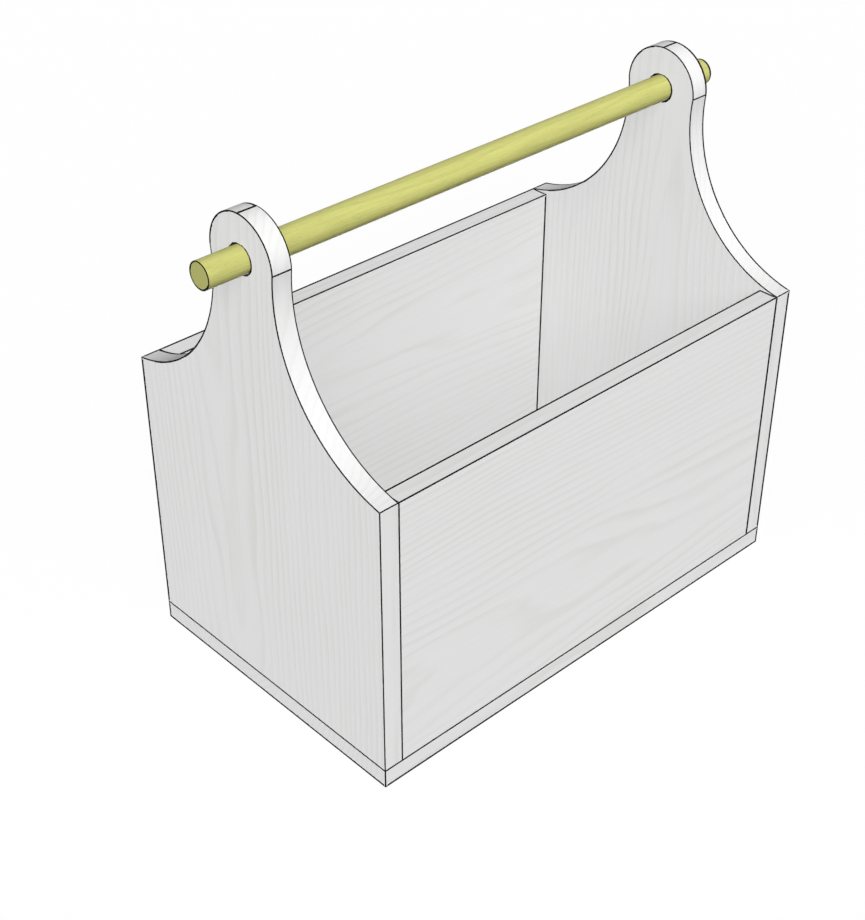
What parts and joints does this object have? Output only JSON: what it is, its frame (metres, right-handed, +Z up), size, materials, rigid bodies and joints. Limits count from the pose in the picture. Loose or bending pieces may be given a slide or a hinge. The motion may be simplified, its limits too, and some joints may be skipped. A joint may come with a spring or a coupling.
{
  "type": "wooden tool tote",
  "caption": "Open wooden tool tote: an oblong box with low side boards, tall shaped end boards and a round dowel handle through their rounded heads.",
  "frame": {"origin": "middle of the bottom board's underside, on the surface that the tote stands on", "axes": "+X along the handle, towards the right end board; +Y from the front side board to the rear one; +Z up"},
  "size_m": [0.381, 0.2032, 0.3175],
  "materials": {
    "painted_board": "pale grey paint, matt",
    "handle_wood": "straw-yellow stain, satin",
    "biscuit_wood": "bare pressed beech",
    "screw_steel": "bright zinc plate"
  },
  "bodies": {
    "root": {"bottom_board": "painted_board", "left_end_board": "painted_board", "right_end_board": "painted_board", "front_side_board": "painted_board", "rear_side_board": "painted_board", "handle_dowel": "handle_wood", "corner_biscuit_front_left_1": "biscuit_wood", "corner_biscuit_front_left_2": "biscuit_wood", "corner_biscuit_rear_left_1": "biscuit_wood", "corner_biscuit_rear_left_2": "biscuit_wood", "corner_biscuit_front_right_1": "biscuit_wood", "corner_biscuit_front_right_2": "biscuit_wood", "corner_biscuit_rear_right_1": "biscuit_wood", "corner_biscuit_rear_right_2": "biscuit_wood", "bottom_screw_front_1": "screw_steel", "bottom_screw_front_2": "screw_steel", "bottom_screw_front_3": "screw_steel", "bottom_screw_rear_1": "screw_steel", "bottom_screw_rear_2": "screw_steel", "bottom_screw_rear_3": "screw_steel", "bottom_screw_left": "screw_steel", "bottom_screw_right": "screw_steel"}
  },
  "joints": []
}
